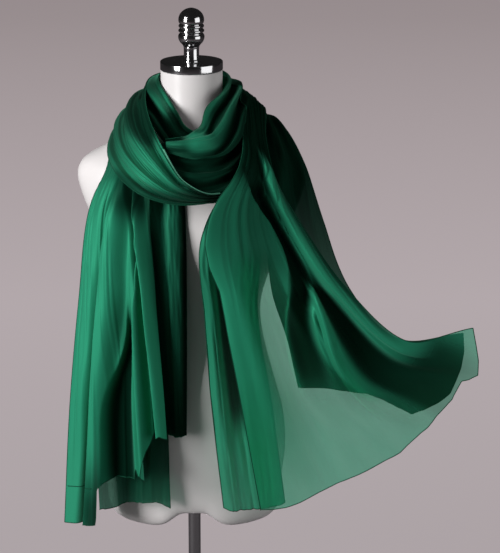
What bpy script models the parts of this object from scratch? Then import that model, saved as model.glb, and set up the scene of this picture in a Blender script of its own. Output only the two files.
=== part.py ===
"""Chiffon scarf wound once round the neck of a limbless dress form, which stands on a pole and a round base.

Lengths in the tables are millimetres. X runs to the right seen from the front, Y to the back and Z up, and the
origin is the middle of the underside of the base.
"""
import math
from collections import namedtuple

import bmesh
import bpy
from mathutils import Vector
from mathutils.bvhtree import BVHTree

mm = 0.001

# Driving sizes, in millimetres
clothWall = 1.2
seamGap = 0.3
layGap = 1.6
layPasses = 3
layShares = (0, 0.2, 0.4, 0.6, 0.8, 1)
liftReach = 90
baseRadius = 150
baseHeight = 14
baseHubRadius = 26
baseHubHeight = 30
poleRadius = 10.5
formFoot = 262
notchHeight = 26
notchHalfWidth = 16
notchSlope = 26
formEdgeRound = 34
neckTop = 1040
plateRadius = 51.5
plateHeight = 14
formSides = 36
baseSides = 40
turnedSides = 24
chromeColor = (0.72, 0.72, 0.73)
formColor = (0.80, 0.78, 0.78)

# One row for each level of the dress form, seen from the front: half its width, and how far it reaches to the
# front and to the back of the pole's axis
Level = namedtuple("Level", "height halfWidth front back")
formLevels = (
    Level(1040, 51, 51, 51),
    Level(1000, 51, 52, 52),
    Level(976, 54, 55, 56),
    Level(957, 64, 61, 65),
    Level(942, 86, 67, 76),
    Level(926, 118, 74, 87),
    Level(911, 146, 80, 94),
    Level(897, 172, 85, 98),
    Level(884, 185, 90, 102),
    Level(865, 190, 96, 106),
    Level(836, 184, 104, 110),
    Level(798, 170, 110, 110),
    Level(750, 151, 109, 103),
    Level(700, 129, 99, 92),
    Level(645, 114, 89, 84),
    Level(590, 117, 93, 93),
    Level(520, 134, 102, 110),
    Level(450, 152, 105, 119),
    Level(390, 156, 99, 113),
    Level(335, 150, 89, 101),
)

# One row for each ring that rounds the form's lower edge and closes its underside: its size beside the lowest
# level, and its height over the underside as a share of formEdgeRound
Ring = namedtuple("Ring", "scale lift")
footRings = (
    Ring(0.985, 1.0),
    Ring(0.955, 0.55),
    Ring(0.905, 0.22),
    Ring(0.83, 0.05),
    Ring(0.70, 0.0),
    Ring(0.50, 0.0),
    Ring(0.32, 0.0),
    Ring(0.20, 0.0),
    Ring(0.10, 0.0),
)

# The two soft bumps of the bust: middle and reach of one, mirrored to the other side
bustSide = 76
bustHeight = 806
bustReach = 24
bustSpread = 52

# Finial profile from its foot on the plate to its top
Turn = namedtuple("Turn", "radius height")
finialTurns = (
    Turn(14.5, 0),
    Turn(13.0, 4),
    Turn(12.6, 14),
    Turn(13.2, 25),
    Turn(17.0, 29),
    Turn(20.0, 36),
    Turn(21.5, 41),
    Turn(20.2, 44),
    Turn(18.2, 46),
    Turn(21.2, 49),
    Turn(21.2, 51),
    Turn(18.2, 54),
    Turn(20.8, 57),
    Turn(20.8, 59),
    Turn(18.6, 61),
    Turn(21.0, 66),
    Turn(20.6, 72),
    Turn(17.6, 79),
    Turn(11.0, 84.5),
    Turn(4.0, 87.2),
)

# A stretch of cloth is a row of sections, each a line across the cloth from one edge to the other. Belly
# swells the middle of the line towards the front of the cloth, bow bends it down the cloth, and pleat is the
# share of its folds' height that the cloth has there.
Section = namedtuple("Section", "name start end belly bow pleat")

# A fold is a ridge or, with a negative height, a valley along the cloth. Its places are shares of the width at
# the first and last section, its width is a share too, and lean moves its crest towards the end edge. Rise
# lifts the hem on the fold. Between holds evenly spaced places on the way, for a fold that doesn't run straight.
Fold = namedtuple("Fold", "name first last width height lean rise between", defaults=((),))

Stretch = namedtuple("Stretch", "name color sections folds across along")

leftTailFront = Stretch(
    "scarf_left_tail_front",
    (0.012, 0.150, 0.072),
    (
        Section("shoulder", (-128, -12, 930), (-72, -30, 952), 6, 0, 0.3),
        Section("under the band", (-140, -66, 880), (-64, -116, 892), 7, 0, 0.25),
        Section("chest", (-163, -72, 809), (-66, -142, 826), 10, 0, 0.8),
        Section("waist", (-178, -76, 666), (-56, -150, 694), 14, 0, 1),
        Section("hip", (-196, -82, 503), (-40, -150, 531), 14, 0, 1),
        Section("hem", (-211, -86, 285), (-22, -146, 300), 12, 0, 1),
    ),
    (
        Fold("outer edge", 0.00, 0.00, 0.10, -14, 0, 0),
        Fold("first fold", 0.19, 0.08, 0.13, 18, 0, 0, (0.18, 0.15, 0.11)),
        Fold("first valley", 0.36, 0.19, 0.06, -8, 0, 24, (0.36, 0.32, 0.24)),
        Fold("second fold", 0.48, 0.28, 0.12, 18, 0, 34, (0.47, 0.42, 0.33)),
        Fold("deep valley", 0.62, 0.49, 0.12, -16, 0, 44, (0.62, 0.61, 0.55)),
        Fold("narrow fold", 0.73, 0.68, 0.085, 16, 0, 26, (0.74, 0.75, 0.71)),
        Fold("dark gap", 0.80, 0.79, 0.06, -10, 0, 60, (0.81, 0.82, 0.80)),
        Fold("last fold", 0.89, 0.89, 0.09, 20, 0, 96),
        Fold("inner edge", 1.00, 1.00, 0.07, -14, 0, 116),
    ),
    36,
    13,
)

leftTailInner = Stretch(
    "scarf_left_tail_inner",
    (0.006, 0.075, 0.038),
    (
        Section("under the band", (-76, -98, 880), (-14, -98, 880), 0, 0, 1),
        Section("chest", (-80, -124, 806), (-8, -122, 806), 4, 0, 1),
        Section("waist", (-72, -128, 668), (-7, -126, 668), 4, 0, 1),
        Section("hem", (-54, -124, 450), (-9, -124, 444), 3, 0, 1),
    ),
    (
        Fold("left fold", 0.30, 0.30, 0.28, -6, 0, 0),
        Fold("light fold", 0.72, 0.70, 0.22, 7, 1, 0),
    ),
    10,
    9,
)

leftTailBack = Stretch(
    "scarf_left_tail_back",
    (0.010, 0.110, 0.055),
    (
        Section("shoulder", (-122, -2, 922), (-66, -20, 944), 4, 0, 1),
        Section("under the band", (-132, -60, 868), (-50, -100, 876), 4, 0, 1),
        Section("chest", (-150, -64, 790), (-44, -124, 800), 12, 0, 1),
        Section("waist", (-158, -62, 655), (-42, -120, 667), 8, 0, 1),
        Section("hip", (-166, -62, 500), (-42, -116, 508), 8, 0, 1),
        Section("hem", (-160, -62, 292), (-38, -108, 312), 10, -12, 1),
    ),
    (
        Fold("outer fold", 0.18, 0.20, 0.16, 6, 0, 0),
        Fold("valley", 0.45, 0.45, 0.14, -5, 0, 4),
        Fold("inner fold", 0.80, 0.74, 0.16, 6, 0, 0),
    ),
    14,
    12,
)

rightTailFront = Stretch(
    "scarf_right_tail_front",
    (0.014, 0.165, 0.080),
    (
        Section("left of the nape", (-34, 73, 1020), (-90, 114, 922), 8, 0, 0.7),
        Section("nape", (8, 84, 1018), (4, 146, 918), 10, 0, 0.75),
        Section("right back", (50, 64, 1016), (92, 114, 928), 10, 0, 0.7),
        Section("right shoulder", (70, 0, 1010), (120, 4, 976), 4, 0, 0.4),
        Section("right front", (84, -70, 978), (122, -66, 938), 4, 0, 0.4),
        Section("collar", (76, -144, 914), (126, -108, 880), 6, 0, 0.5),
        Section("chest", (38, -180, 838), (160, -118, 796), 10, 0, 0.9),
        Section("waist", (50, -184, 698), (236, -132, 692), 14, 6, 1),
        Section("hip", (81, -178, 533), (337, -150, 612), 16, 34, 1),
        Section("hem", (117, -166, 336), (460, -158, 642), 14, 76, 1),
    ),
    (
        Fold("main panel", 0.20, 0.14, 0.17, 12, 0, 0, (0.20, 0.18, 0.18)),
        Fold("dark gap", 0.50, 0.34, 0.14, -20, 0, 0, (0.50, 0.52, 0.62)),
        Fold("green fold", 0.72, 0.56, 0.09, 10, 0, 0, (0.72, 0.74, 0.79)),
        Fold("deep recess", 0.84, 0.84, 0.10, -18, 0, 0, (0.84, 0.84, 0.885)),
        Fold("rolled ridge", 0.96, 0.98, 0.08, 12, 0, 0, (0.96, 0.96, 0.97)),
    ),
    26,
    26,
)

rightTailInner = Stretch(
    "scarf_right_tail_inner",
    (0.012, 0.130, 0.064),
    (
        Section("collar", (64, -132, 884), (100, -108, 880), 0, 0, 1),
        Section("chest", (16, -158, 790), (112, -134, 771), 0, 0, 1),
        Section("waist", (22, -160, 666), (117, -134, 655), 4, 0, 1),
        Section("hip", (34, -154, 500), (138, -134, 515), 4, 4, 1),
        Section("hem", (52, -146, 328), (157, -132, 333), 4, 8, 1),
    ),
    (
        Fold("strip fold", 0.30, 0.25, 0.25, 6, 0, 0),
        Fold("strip valley", 0.62, 0.60, 0.22, -5, 0, 0),
    ),
    10,
    12,
)

rightTailBack = Stretch(
    "scarf_right_tail_back",
    (0.008, 0.095, 0.048),
    (
        Section("right back", (64, 84, 966), (96, 116, 926), 2, 0, 0.4),
        Section("right shoulder", (98, 20, 966), (146, 26, 944), 4, 0, 0.5),
        Section("collar", (110, -70, 910), (187, -18, 884), 14, 0, 0.7),
        Section("chest", (120, -98, 800), (217, -46, 792), 8, 0, 1),
        Section("waist", (126, -106, 694), (262, -70, 682), 6, 0, 1),
        Section("hip", (151, -112, 612), (336, -98, 586), 4, 10, 1),
        Section("hem", (176, -116, 529), (444, -112, 622), 2, 66, 1),
    ),
    (
        Fold("left valley", 0.14, 0.12, 0.12, -8, 0, 0),
        Fold("green fold", 0.34, 0.36, 0.14, 10, 0, 0),
        Fold("dark valley", 0.58, 0.58, 0.14, -9, 0, 0),
        Fold("outer fold", 0.80, 0.80, 0.14, 7, 0, 0),
    ),
    18,
    17,
)

collar = Stretch(
    "scarf_collar",
    (0.014, 0.155, 0.076),
    (
        Section("under the cowl", (14, -90, 950), (8, -112, 922), 0, 0, 1),
        Section("left turn", (-8, -84, 961), (-30, -110, 930), 2, 0, 1),
        Section("left front", (-21, -66, 979), (-50, -92, 948), 4, 0, 1),
        Section("left slope", (-35, -45, 998), (-68, -64, 966), 5, 0, 1),
        Section("left side", (-52, -8, 1021), (-88, -14, 982), 5, 0, 1),
        Section("left back", (-44, 40, 1028), (-70, 68, 986), 5, 0, 1),
        Section("back", (-3, 58, 1030), (-5, 94, 986), 5, 0, 1),
    ),
    (
        Fold("inner edge", 0.04, 0.04, 0.12, 3, 0, 0),
        Fold("inner valley", 0.30, 0.30, 0.14, -4, 0, 0),
        Fold("strip", 0.55, 0.55, 0.16, 5, 0, 0),
        Fold("outer valley", 0.85, 0.85, 0.14, -4, 0, 0),
    ),
    9,
    18,
)

cowl = Stretch(
    "scarf_cowl",
    (0.018, 0.190, 0.092),
    (
        Section("back", (3, 60, 1028), (5, 96, 986), 5, 0, 1),
        Section("right back", (46, 42, 1027), (74, 68, 986), 5, 0, 1),
        Section("right side", (57, -6, 1020), (90, -12, 988), 5, 0, 1),
        Section("right front", (48, -48, 1008), (88, -68, 978), 6, 0, 1),
        Section("right turn", (26, -70, 990), (82, -112, 948), 8, 0, 1),
        Section("cowl right", (18, -88, 966), (56, -142, 926), 10, 0, 1),
        Section("cowl", (4, -104, 957), (20, -154, 922), 12, 0, 1),
        Section("cowl left", (-16, -116, 952), (-6, -150, 926), 8, 0, 1),
        Section("under the band", (-40, -120, 950), (-36, -138, 932), 2, 0, 1),
    ),
    (
        Fold("inner fold", 0.14, 0.14, 0.13, 5, 0, 0),
        Fold("inner valley", 0.34, 0.34, 0.12, -5, 0, 0),
        Fold("lens", 0.58, 0.58, 0.17, 5, 0, 0),
        Fold("outer valley", 0.84, 0.84, 0.13, -5, 0, 0),
    ),
    10,
    22,
)

underBand = Stretch(
    "scarf_under_band",
    (0.006, 0.065, 0.034),
    (
        Section("right shoulder", (74, 14, 984), (112, 16, 956), 0, 0, 1),
        Section("right front", (74, -42, 968), (108, -52, 938), 3, 0, 1),
        Section("right side", (66, -82, 948), (96, -112, 902), 5, 0, 1),
        Section("right turn", (48, -104, 936), (66, -146, 868), 7, 0, 1),
        Section("middle", (14, -110, 930), (18, -160, 857), 9, 0, 1),
        Section("left turn", (-22, -108, 934), (-22, -154, 868), 7, 0, 1),
        Section("left end", (-52, -98, 940), (-56, -128, 896), 4, 0, 1),
    ),
    (
        Fold("upper fold", 0.20, 0.20, 0.15, 4, 0, 0),
        Fold("valley", 0.50, 0.50, 0.14, -5, 0, 0),
        Fold("lower fold", 0.80, 0.80, 0.15, 4, 0, 0),
    ),
    9,
    18,
)

frontBand = Stretch(
    "scarf_front_band",
    (0.016, 0.180, 0.086),
    (
        Section("end", (52, -154, 869), (50, -159, 856), 0, 0, 0.3),
        Section("middle", (28, -164, 870), (27, -170, 856), 0, 0, 1),
        Section("right of the turn", (4, -170, 882), (-10, -182, 856), 2, 0, 1),
        Section("turn", (-19, -160, 900), (-46, -180, 860), 6, 0, 1),
        Section("left front", (-42, -138, 938), (-84, -164, 872), 10, 0, 1),
        Section("left slope", (-62, -96, 974), (-116, -118, 890), 12, 0, 1),
        Section("left side", (-71, -34, 1002), (-134, -48, 910), 10, 0, 1),
        Section("left back", (-62, 30, 1016), (-128, 44, 924), 9, 0, 1),
        Section("left of the nape", (-35, 72, 1020), (-92, 113, 922), 8, 0, 1),
    ),
    (
        Fold("hem roll", 0.05, 0.05, 0.08, 3, 0, 0),
        Fold("first fold", 0.24, 0.30, 0.12, 6, 0, 0),
        Fold("first valley", 0.42, 0.46, 0.10, -5, 0, 0),
        Fold("second fold", 0.60, 0.62, 0.12, 6, 0, 0),
        Fold("second valley", 0.78, 0.78, 0.10, -5, 0, 0),
        Fold("lower roll", 0.94, 0.92, 0.10, 4, 0, 0),
    ),
    12,
    24,
)

napeUnder = Stretch(
    "scarf_nape_under",
    (0.008, 0.090, 0.046),
    (
        Section("left shoulder", (-64, 36, 992), (-124, 46, 944), 4, 0, 1),
        Section("left back", (-46, 66, 970), (-96, 112, 908), 6, 0, 1),
        Section("middle back", (2, 84, 958), (6, 134, 872), 8, 0, 1),
        Section("right back", (46, 66, 970), (92, 110, 912), 6, 0, 1),
        Section("right shoulder", (66, 36, 990), (118, 46, 946), 4, 0, 1),
    ),
    (
        Fold("upper valley", 0.26, 0.26, 0.14, -4, 0, 0),
        Fold("middle fold", 0.52, 0.52, 0.14, 5, 0, 0),
        Fold("lower valley", 0.78, 0.78, 0.14, -4, 0, 0),
    ),
    9,
    16,
)

# The order in which the cloth is laid, innermost first
stretches = (
    napeUnder, leftTailBack, leftTailInner, leftTailFront,
    underBand, collar, cowl, frontBand,
    rightTailInner, rightTailBack, rightTailFront,
)


def blend(rows, share):
    """Point or number at a share of the way through evenly spaced rows, on a smooth curve through all of them."""
    place = min(max(share, 0.0), 1.0) * (len(rows) - 1)
    index = min(int(place), len(rows) - 2)
    t = place - index
    second, third = rows[index], rows[index + 1]
    first = rows[index - 1] if index > 0 else second * 2 - third
    fourth = rows[index + 2] if index + 2 < len(rows) else third * 2 - second
    return (
        second * 2
        + (third - first) * t
        + (first * 2 - second * 5 + third * 4 - fourth) * t ** 2
        + (second * 3 - first - third * 3 + fourth) * t ** 3
    ) * 0.5


def sectionPoint(sections, across, along):
    """Point on the unfolded stretch: across runs from its start edge to its end edge, along down its sections."""
    start = blend([Vector(row.start) for row in sections], along)
    end = blend([Vector(row.end) for row in sections], along)
    arch = 4 * across * (1 - across)
    bow = blend([row.bow for row in sections], along)
    chord = (end - start).normalized()
    downCloth = Vector((-chord.z, 0, chord.x)) * -1
    return start.lerp(end, across) + downCloth * bow * arch


def sectionFront(sections, across, along):
    """Direction that the front of the unfolded stretch faces."""
    step = 0.01
    acrossWay = sectionPoint(sections, across + step, along) - sectionPoint(sections, across - step, along)
    low, high = max(along - step, 0), min(along + step, 1)
    alongWay = sectionPoint(sections, across, high) - sectionPoint(sections, across, low)
    return alongWay.cross(acrossWay).normalized()


def foldShape(distance):
    """Rounded crest: 1 in the middle of a fold, 0 from its width outwards."""
    if abs(distance) >= 1:
        return 0.0
    return 0.5 * (1 + math.cos(math.pi * distance))


def hemRise(folds, across):
    """Height of the hem over its section line, read between the folds at both sides."""
    left, right = folds[0], folds[-1]
    for fold in folds:
        if fold.last <= across:
            left = fold
    for fold in reversed(folds):
        if fold.last >= across:
            right = fold
    span = right.last - left.last
    if span <= 0:
        return left.rise
    share = min(max((across - left.last) / span, 0), 1)
    return left.rise + (right.rise - left.rise) * share * share * (3 - 2 * share)


def clothPoint(stretch, across, along):
    """Point of the folded cloth, in millimetres."""
    sections, folds = stretch.sections, stretch.folds
    length = (sectionPoint(sections, across, 0) - sectionPoint(sections, across, 1)).length
    along *= 1 - hemRise(folds, across) / length
    belly = blend([row.belly for row in sections], along) * 4 * across * (1 - across)
    pleat = blend([row.pleat for row in sections], along)
    offset, shift = belly, 0.0
    for fold in folds:
        middle = blend((fold.first, *fold.between, fold.last), along)
        crest = foldShape((across - middle) / fold.width) * pleat
        offset += fold.height * crest
        shift += fold.lean * crest
    hemWidth = (Vector(sections[-1].end) - Vector(sections[-1].start)).length
    leaned = across + shift / hemWidth
    return sectionPoint(sections, leaned, along) + sectionFront(sections, across, along) * offset


def addMaterial(name, color, roughness, metallic=0.0, alpha=1.0):
    """Principled material of one sub-part."""
    material = bpy.data.materials.new(name)
    material.use_nodes = True
    shader = material.node_tree.nodes["Principled BSDF"]
    shader.inputs["Base Color"].default_value = (*color, 1)
    shader.inputs["Roughness"].default_value = roughness
    shader.inputs["Metallic"].default_value = metallic
    shader.inputs["Alpha"].default_value = alpha
    material.diffuse_color = (*color, 1)
    return material


def addObject(name, mesh, material, collection):
    """Object that holds one finished mesh."""
    mesh.materials.append(material)
    mesh.shade_smooth()
    mesh.set_sharp_from_angle(angle=math.radians(40))
    part = bpy.data.objects.new(name, mesh)
    collection.objects.link(part)
    return part


def liftNeeded(laid, point, front):
    """How far a point has to move along the front direction to lie clear of the pieces laid before."""
    top = point + front * liftReach * mm
    hit = laid.ray_cast(top, -front, 2 * liftReach * mm)[0]
    if hit is None:
        return 0.0
    return max((hit - point).dot(front) / mm + layGap, 0.0)


def liftsNeeded(laid, form, fronts):
    """Lift of each vertex that keeps the faces round it clear of the pieces laid before."""
    lifts = dict.fromkeys(form.verts, 0.0)
    for face in form.faces:
        first, second, third, fourth = face.verts
        front = sum((fronts[vertex] for vertex in face.verts), Vector()).normalized()
        for u in layShares:
            for v in layShares:
                point = first.co.lerp(second.co, u).lerp(fourth.co.lerp(third.co, u), v)
                lift = liftNeeded(laid, point, front)
                for vertex in face.verts:
                    lifts[vertex] = max(lifts[vertex], lift)
    return lifts


def layCloth(stretch, laid):
    """Grid of the cloth's points, moved out where a piece laid before is in the way."""
    form = bmesh.new()
    bmesh.ops.create_grid(form, x_segments=stretch.across, y_segments=stretch.along, size=0.5)
    fronts = {}
    for vertex in form.verts:
        across, along = vertex.co.x + 0.5, 0.5 - vertex.co.y
        fronts[vertex] = sectionFront(stretch.sections, across, along)
        vertex.co = clothPoint(stretch, across, along) * mm
    for _ in range(layPasses):
        lifts = liftsNeeded(laid, form, fronts)
        for vertex, lift in lifts.items():
            near = [lifts[edge.other_vert(vertex)] for edge in vertex.link_edges]
            vertex.co += fronts[vertex] * max(lift, sum(near) / len(near)) * mm
    return form


def laidTree(collection):
    """Search tree of every piece that is in place so far."""
    graph = bpy.context.evaluated_depsgraph_get()
    points, faces = [], []
    for item in collection.objects:
        mesh = item.evaluated_get(graph).to_mesh()
        first = len(points)
        points += [item.matrix_world @ vertex.co for vertex in mesh.vertices]
        faces += [[first + index for index in face.vertices] for face in mesh.polygons]
    return BVHTree.FromPolygons(points, faces)


def addCloth(stretch, collection):
    """Cloth wall of one stretch: a grid laid on its folds, thickened to both sides."""
    form = layCloth(stretch, laidTree(collection))
    mesh = bpy.data.meshes.new(stretch.name)
    form.to_mesh(mesh)
    form.free()
    part = addObject(stretch.name, mesh, addMaterial(stretch.name, stretch.color, 0.55, alpha=0.9), collection)
    wall = part.modifiers.new("wall", "SOLIDIFY")
    wall.thickness = clothWall * mm
    wall.offset = 0
    wall.use_even_offset = False
    return part


def bustOffset(x, z):
    """How far the soft bust stands forward at a point of the form's front."""
    offset = 0.0
    for side in (-bustSide, bustSide):
        distance = math.hypot(x - side, (z - bustHeight) * 0.9) / bustSpread
        offset += bustReach * math.exp(-distance * distance)
    return offset


def formPoint(level, angle):
    """Point of the form's skin at one level, with angle 0 at the right and a quarter turn at the back."""
    reach = level.back if math.sin(angle) > 0 else level.front
    x = level.halfWidth * math.cos(angle)
    y = reach * math.sin(angle)
    if y < 0:
        y -= bustOffset(x, level.height) * -math.sin(angle)
    return Vector((x, y, level.height))


def formUnderside(x):
    """Height of the form's underside: two shallow lobes with a notch between them, flat over the pole."""
    distance = max(abs(x) - notchHalfWidth, 0) / notchSlope
    return formFoot + notchHeight * math.exp(-distance * distance)


def addDressForm(collection):
    """Closed skin of the form: rings from the neck down, then the rounded edge and the underside."""
    form = bmesh.new()
    rings = []
    angles = [2 * math.pi * i / formSides for i in range(formSides)]
    for level in formLevels:
        rings.append([form.verts.new(formPoint(level, angle) * mm) for angle in angles])
    foot = formLevels[-1]
    for ring in footRings:
        row = []
        for angle in angles:
            point = formPoint(foot, angle) * ring.scale
            point.z = formUnderside(point.x) + formEdgeRound * ring.lift
            row.append(form.verts.new(point * mm))
        rings.append(row)
    for upper, lower in zip(rings, rings[1:]):
        edges = []
        for row in (upper, lower):
            for first, second in zip(row, row[1:] + row[:1]):
                edges.append(form.edges.get((first, second)) or form.edges.new((first, second)))
        bmesh.ops.bridge_loops(form, edges=edges)
    form.faces.new(rings[0])
    form.faces.new(rings[-1])
    bmesh.ops.recalc_face_normals(form, faces=form.faces)
    mesh = bpy.data.meshes.new("dress_form")
    form.to_mesh(mesh)
    form.free()
    return addObject("dress_form", mesh, addMaterial("dress_form", formColor, 0.35), collection)


def addTurned(name, turns, foot, segments, collection):
    """Turned chrome piece: a profile from the axis out and back to it, spun round the pole's axis."""
    form = bmesh.new()
    points = [Vector((0, 0, turns[0].height))]
    points += [Vector((turn.radius, 0, turn.height)) for turn in turns]
    points.append(Vector((0, 0, turns[-1].height)))
    verts = [form.verts.new((point + Vector((0, 0, foot))) * mm) for point in points]
    edges = [form.edges.new(pair) for pair in zip(verts, verts[1:])]
    bmesh.ops.spin(form, geom=verts + edges, cent=(0, 0, 0), axis=(0, 0, 1), angle=2 * math.pi, steps=segments,
                   use_merge=True)
    bmesh.ops.remove_doubles(form, verts=form.verts, dist=1e-5)
    bmesh.ops.recalc_face_normals(form, faces=form.faces)
    mesh = bpy.data.meshes.new(name)
    form.to_mesh(mesh)
    form.free()
    return addObject(name, mesh, addMaterial(name, chromeColor, 0.12, metallic=1.0), collection)


def addStand(collection):
    """Chrome pieces: base, pole, neck plate and finial."""
    baseTurns = (
        Turn(baseRadius, 0),
        Turn(baseRadius, 4),
        Turn(baseRadius - 4, 7),
        Turn(baseRadius - 40, baseHeight - 4),
        Turn(baseHubRadius + 10, baseHeight),
        Turn(baseHubRadius, baseHeight + 4),
        Turn(baseHubRadius - 4, baseHubHeight),
    )
    addTurned("base_plate", baseTurns, 0, baseSides, collection)
    poleFoot = baseHubHeight + seamGap
    poleTop = formUnderside(0) - seamGap
    poleTurns = (Turn(poleRadius, 0), Turn(poleRadius, poleTop - poleFoot))
    addTurned("pole", poleTurns, poleFoot, turnedSides, collection)
    plateFoot = neckTop + seamGap
    plateTurns = (
        Turn(plateRadius - 1, 0),
        Turn(plateRadius, 1),
        Turn(plateRadius, plateHeight - 1.5),
        Turn(plateRadius - 1.5, plateHeight),
    )
    addTurned("neck_plate", plateTurns, plateFoot, baseSides, collection)
    addTurned("finial", finialTurns, plateFoot + plateHeight + seamGap, turnedSides, collection)


def main():
    for item in list(bpy.data.objects):
        bpy.data.objects.remove(item)
    collection = bpy.data.collections.new("chiffon_scarf_on_dress_form")
    bpy.context.scene.collection.children.link(collection)
    addDressForm(collection)
    addStand(collection)
    for stretch in stretches:
        addCloth(stretch, collection)


main()
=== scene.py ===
import math
from collections import namedtuple

import bmesh
import bpy
import numpy as np
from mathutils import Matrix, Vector
from mathutils.bvhtree import BVHTree


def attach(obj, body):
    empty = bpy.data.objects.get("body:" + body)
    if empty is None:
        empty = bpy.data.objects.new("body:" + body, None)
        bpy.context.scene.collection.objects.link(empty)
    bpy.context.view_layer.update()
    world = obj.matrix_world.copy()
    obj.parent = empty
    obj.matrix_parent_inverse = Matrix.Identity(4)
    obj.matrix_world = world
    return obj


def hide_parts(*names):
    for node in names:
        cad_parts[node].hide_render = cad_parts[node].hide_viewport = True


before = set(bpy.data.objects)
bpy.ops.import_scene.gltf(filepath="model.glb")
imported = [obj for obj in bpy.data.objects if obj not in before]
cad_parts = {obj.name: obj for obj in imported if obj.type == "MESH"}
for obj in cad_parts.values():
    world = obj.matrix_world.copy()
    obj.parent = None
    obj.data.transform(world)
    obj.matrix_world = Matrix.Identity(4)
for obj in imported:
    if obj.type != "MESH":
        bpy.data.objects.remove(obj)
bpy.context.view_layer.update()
mm = 0.001
weldReach = 0.01 * mm

studio = {
    "cameraPlace": (0.0959, -4.0373, 1.8440),
    "cameraAim": (0.0959, 0.0, 0.6863),
    "lens": 162.75,
    "lamps": (
        # name, place, aim, width, height, watts
        ("keyLamp", (-2.45, -1.85, 1.6), (0.0, 0.0, 0.95), 1.0, 2.3, 112),
        ("wideLamp", (2.45, -1.45, 1.2), (0.0, 0.0, 0.95), 2.4, 2.3, 21),
    ),
    "floorReach": 9.0,
    "floorSides": 96,
    "floorPaintedLight": (                            # painted light on the floor, a glow for a backdrop lamp's pool, from far in front to far behind
        (0.0, (0.46, 0.405, 0.420, 1)),
        (0.53, (0.48, 0.425, 0.440, 1)),
        (0.62, (0.52, 0.455, 0.472, 1)),
        (0.85, (0.365, 0.312, 0.320, 1)),
        (1.0, (0.31, 0.265, 0.275, 1)),
    ),
    "floorShade": (0.10, 0.09, 0.095, 1),      # the floor in its own light, weak, so the folds stay dark
    "floorRoughness": 0.85,
    "floorSpecular": 0.1,
    "floorGlow": 0.85,
    "roomColor": (0.43, 0.385, 0.407, 1),      # what the camera sees past the floor
    "lightColor": (1, 0.97, 0.98, 1),
    "overheadStrength": 0.22,
    "overheadSpan": (0.35, 0.85),              # how steeply up the overhead light begins and is full
    "backStrength": 0.50,
    "frontStrength": 0.04,
    "backSpan": (-0.15, 0.35),                 # where the front light ends and the back light is full
    "mirroredStrength": 0.012,                 # a dark room in the chrome, with the lamps in it
}


def addItem(name, data):
    item = bpy.data.objects.new(name, data)
    bpy.context.scene.collection.objects.link(item)
    return item


def aimAt(item, place, aim):
    item.location = place
    item.rotation_euler = (Vector(aim) - Vector(place)).to_track_quat("-Z", "Y").to_euler()


def addCamera():
    camera = addItem("camera", bpy.data.cameras.new("camera"))
    aimAt(camera, studio["cameraPlace"], studio["cameraAim"])
    camera.data.lens = studio["lens"]
    bpy.context.scene.camera = camera


def addLamps():
    for name, place, aim, width, height, watts in studio["lamps"]:
        lamp = bpy.data.lights.new(name, "AREA")
        lamp.shape = "RECTANGLE"
        lamp.size = width
        lamp.size_y = height
        lamp.energy = watts
        aimAt(addItem(name, lamp), place, aim)


def fillRamp(ramp, stops):
    ramp[0].position = stops[0][0]
    ramp[1].position = stops[-1][0]
    for place, _ in stops[1:-1]:
        ramp.new(place)
    for stop, (_, color) in zip(ramp, stops):
        stop.color = color


class Value:
    # wraps one socket of a node tree, so that sums on it add Math nodes
    def __init__(self, tree, socket=None):
        self.tree = tree
        self.socket = socket

    def node(self, kind, settings=None, values=None, output=0):
        made = self.tree.nodes.new(kind)
        for name, value in (settings or {}).items():
            if name == "stops":
                fillRamp(made.color_ramp.elements, value)
            else:
                setattr(made, name, value)
        for name, value in (values or {}).items():
            if isinstance(value, Value):
                self.tree.links.new(value.socket, made.inputs[name])
            else:
                made.inputs[name].default_value = value
        return Value(self.tree, made.outputs[output])

    def math(self, operation, first, second=0.0):
        return self.node("ShaderNodeMath", {"operation": operation}, {0: first, 1: second})

    def __add__(self, other):
        return self.math("ADD", self, other)

    def __mul__(self, other):
        return self.math("MULTIPLY", self, other)

    def __sub__(self, other):
        return self.math("SUBTRACT", self, other)

    def __rsub__(self, other):
        return self.math("SUBTRACT", other, self)

    __radd__ = __add__
    __rmul__ = __mul__

    def clamp(self, low, high):
        return self.node("ShaderNodeClamp", None, {"Value": self, "Min": low, "Max": high})

    def spread(self, span, low, high):
        # low where the value is at the span's first end, high at its second
        return self.node("ShaderNodeMapRange", None, {"Value": self, 1: span[0], 2: span[1], 3: low, 4: high})

    def parts(self, axes):
        split = self.node("ShaderNodeSeparateXYZ", None, {0: self}).socket.node
        return [Value(self.tree, split.outputs[axis]) for axis in axes]

    def noise(self, scale, detail=2.0, roughness=0.5):
        return self.node("ShaderNodeTexNoise", None,
                         {"Vector": self, "Scale": scale, "Detail": detail, "Roughness": roughness})

    def mixColor(self, first, second):
        # the value is the second colour's share, and the node's colour output is number 2
        return self.node("ShaderNodeMix", {"data_type": "RGBA"}, {0: self, 6: first, 7: second}, output=2)

    def mixShader(self, first, second):
        return self.node("ShaderNodeMixShader", None, {0: self, 1: first, 2: second})

    def bump(self, strength, distance):
        return self.node("ShaderNodeBump", None, {"Height": self, "Strength": strength, "Distance": distance})

    def sendOut(self, kind="ShaderNodeOutputMaterial"):
        output = self.tree.nodes.new(kind)
        self.tree.links.new(self.socket, output.inputs["Surface"])


def clearedTree(owner):
    owner.use_nodes = True
    owner.node_tree.nodes.clear()
    return Value(owner.node_tree)


def newMaterial(name):
    material = bpy.data.materials.new(name)
    return material, clearedTree(material)


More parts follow.
